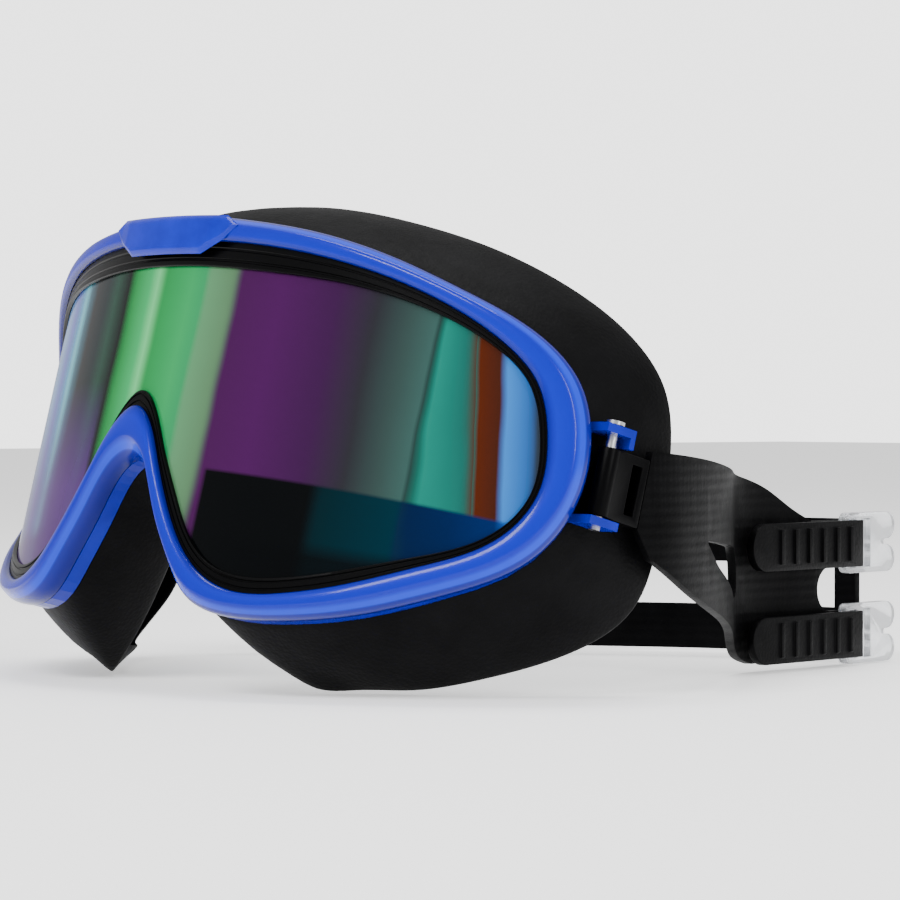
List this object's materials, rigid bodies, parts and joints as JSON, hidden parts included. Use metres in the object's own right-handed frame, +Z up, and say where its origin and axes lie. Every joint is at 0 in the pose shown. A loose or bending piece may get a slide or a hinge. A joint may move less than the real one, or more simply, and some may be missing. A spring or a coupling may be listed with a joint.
{
  "type": "swimming goggles",
  "caption": "Large-frame swimming goggles: a mirrored wraparound lens, soft face skirt, and a forked head strap on swivelling clips with buckles that set its length.",
  "frame": {"origin": "middle of the bounding box on the plane the goggles rest on", "axes": "+X to the wearer's left, +Y from the lens to the back of the head, +Z up from the table; the lens leans back 15 degrees"},
  "size_m": [0.1596, 0.1668, 0.0871],
  "materials": {
    "rim_gloss_blue": "polished",
    "frame_blue": "gloss",
    "gasket_black": "satin",
    "lens_mirror": "coloured mirror coating",
    "plate_blue": "polished",
    "skirt_silicone": "satin",
    "pin_steel": "turned",
    "clip_black": "satin",
    "strap_silicone": "satin",
    "adjuster_clear": "clear moulded plastic"
  },
  "bodies": {
    "eyepiece": {"front_rim": "rim_gloss_blue", "rear_frame": "frame_blue", "lens_gasket": "gasket_black", "lens": "lens_mirror", "brow_plate": "plate_blue", "face_skirt": "skirt_silicone", "left_pivot_pin": "pin_steel", "right_pivot_pin": "pin_steel", "left_strap": "strap_silicone", "right_strap": "strap_silicone"},
    "left_clip": {"left_strap_clip": "clip_black"},
    "right_clip": {"right_strap_clip": "clip_black"},
    "upper_buckle": {"upper_adjuster": "adjuster_clear", "upper_tail": "strap_silicone"},
    "lower_buckle": {"lower_adjuster": "adjuster_clear", "lower_tail": "strap_silicone"}
  },
  "joints": [
    {"name": "left_clip_swivel", "type": "hinge", "parent": "eyepiece", "child": "left_clip", "pos_m": [0.0774, -0.03349, 0.03738], "axis": [0, 0.2588, 0.9659], "range_deg": [-30, 6]},
    {"name": "right_clip_swivel", "type": "hinge", "parent": "eyepiece", "child": "right_clip", "pos_m": [-0.0774, -0.03349, 0.03738], "axis": [0, 0.2588, 0.9659], "range_deg": [-6, 30]},
    {"name": "upper_adjuster_slide", "type": "slide", "parent": "eyepiece", "child": "upper_buckle", "axis": [-0.2079, 0.9781, 0], "range_m": [0, 0.012]},
    {"name": "lower_adjuster_slide", "type": "slide", "parent": "eyepiece", "child": "lower_buckle", "axis": [-0.2079, 0.9781, 0], "range_m": [0, 0.012]}
  ],
  "couplings": [
    {"joint": "lower_adjuster_slide", "follows": "upper_adjuster_slide", "ratio": 1}
  ]
}
